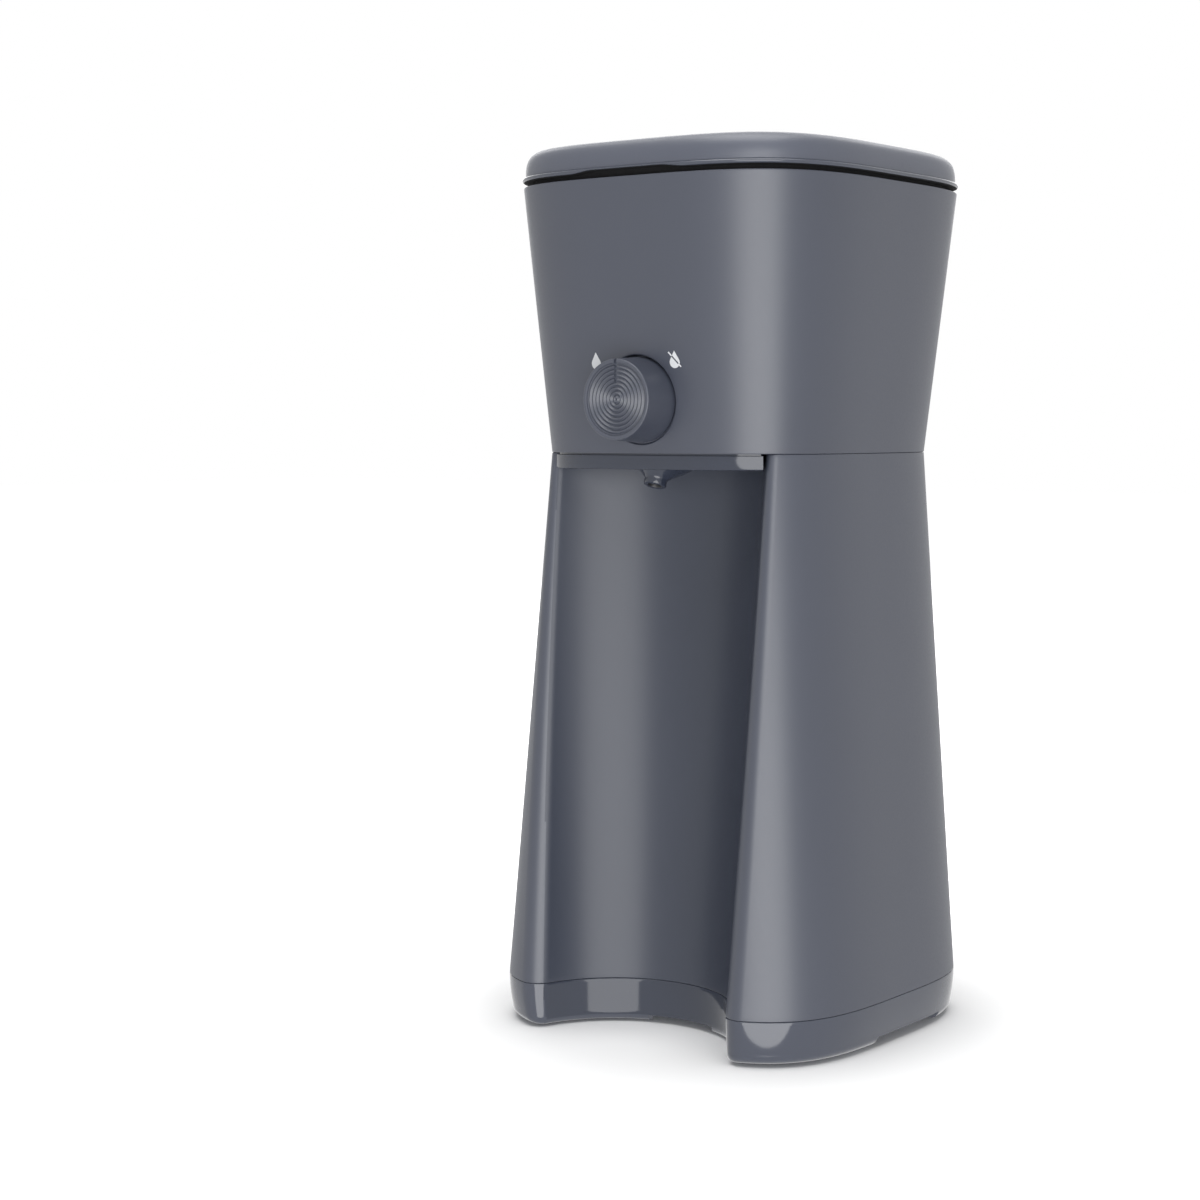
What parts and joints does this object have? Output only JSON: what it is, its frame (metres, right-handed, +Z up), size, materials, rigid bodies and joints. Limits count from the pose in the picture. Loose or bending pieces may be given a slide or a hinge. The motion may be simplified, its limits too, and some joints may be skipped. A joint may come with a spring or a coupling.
{
  "type": "iced coffee maker",
  "caption": "Tall single-serve drip coffee maker with a waisted body, a concave tumbler bay at the front, a turning drip-valve knob, a tilted spout and a lid hinged at the back.",
  "frame": {"origin": "on the counter, midway between the knob's face in front and the lid's back edge", "axes": "+Z up, -Y towards the front with the knob and the bay, +X to the viewer's right"},
  "size_m": [0.143, 0.15, 0.3135],
  "materials": {
    "slate_plastic": "satin, fine moulded texture",
    "dark_plastic": "satin",
    "natural_plastic": "satin",
    "black_plastic": "satin",
    "red_plastic": "gloss",
    "tank_plastic": "satin, slightly cloudy",
    "foot_rubber": "matte",
    "seal_rubber": "matte",
    "hose_rubber": "matte",
    "zinc_steel": "bright zinc plate",
    "cast_aluminium": "as cast",
    "mesh_nylon": "woven mesh",
    "wire_sleeve": "satin",
    "ceramic_white": "glazed"
  },
  "bodies": {
    "body": {"foot_housing": "slate_plastic", "rubber_feet": "foot_rubber", "foot_screws": "zinc_steel", "column_shell": "slate_plastic", "cord_gland": "black_plastic", "gland_nut": "black_plastic", "terminal_block": "natural_plastic", "heater": "cast_aluminium", "heater_terminals": "ceramic_white", "heater_clamp": "zinc_steel", "clamp_screws": "zinc_steel", "thermostat": "black_plastic", "thermal_fuses": "ceramic_white", "wiring": "wire_sleeve", "check_valve": "natural_plastic", "inlet_hose": "hose_rubber", "riser_hose": "hose_rubber", "hose_clips": "zinc_steel", "riser_spout": "natural_plastic", "reservoir": "tank_plastic", "deck": "slate_plastic", "head_shell": "slate_plastic", "head_screws": "zinc_steel", "drip_plate": "dark_plastic", "plate_screws": "zinc_steel", "spout": "dark_plastic", "stem_bush": "natural_plastic", "micro_switch": "black_plastic", "brew_basket": "dark_plastic", "valve_cage": "dark_plastic", "valve_spring": "zinc_steel", "filter_frame": "dark_plastic", "filter_mesh": "mesh_nylon", "hinge_pins": "zinc_steel"},
    "lid": {"lid_shell": "slate_plastic", "lid_liner": "dark_plastic", "shower_plate": "dark_plastic"},
    "knob": {"knob": "slate_plastic", "knob_stem": "natural_plastic", "stem_clip": "zinc_steel", "valve_cam": "natural_plastic", "switch_cam": "natural_plastic"},
    "valve": {"valve_plunger": "natural_plastic", "valve_seal": "seal_rubber"},
    "button": {"switch_button": "red_plastic"},
    "ball": {"check_ball": "zinc_steel"}
  },
  "joints": [
    {"name": "lid_hinge", "type": "hinge", "parent": "body", "child": "lid", "pos_m": [0, 0.06995, 0.303], "axis": [-1, 0, 0], "range_deg": [0, 100]},
    {"name": "knob_turn", "type": "hinge", "parent": "body", "child": "knob", "pos_m": [0, -0.06205, 0.2245], "axis": [0, -1, 0], "range_deg": [-50, 50]},
    {"name": "valve_lift", "type": "slide", "parent": "body", "child": "valve", "axis": [0, 0, 1], "range_m": [-0.00192, 0.00192], "deforming": ["valve_spring"]},
    {"name": "switch_press", "type": "slide", "parent": "body", "child": "button", "axis": [0, 0, -1], "range_m": [-0.00053, 0.00053]},
    {"name": "check_ball_lift", "type": "slide", "parent": "body", "child": "ball", "axis": [0, 0, 1], "range_m": [0, 0.0015]}
  ],
  "couplings": [
    {"joint": "valve_lift", "follows": "knob_turn", "m_per_rad": 0.0022},
    {"joint": "switch_press", "follows": "knob_turn", "m_per_rad": 0.0006}
  ]
}
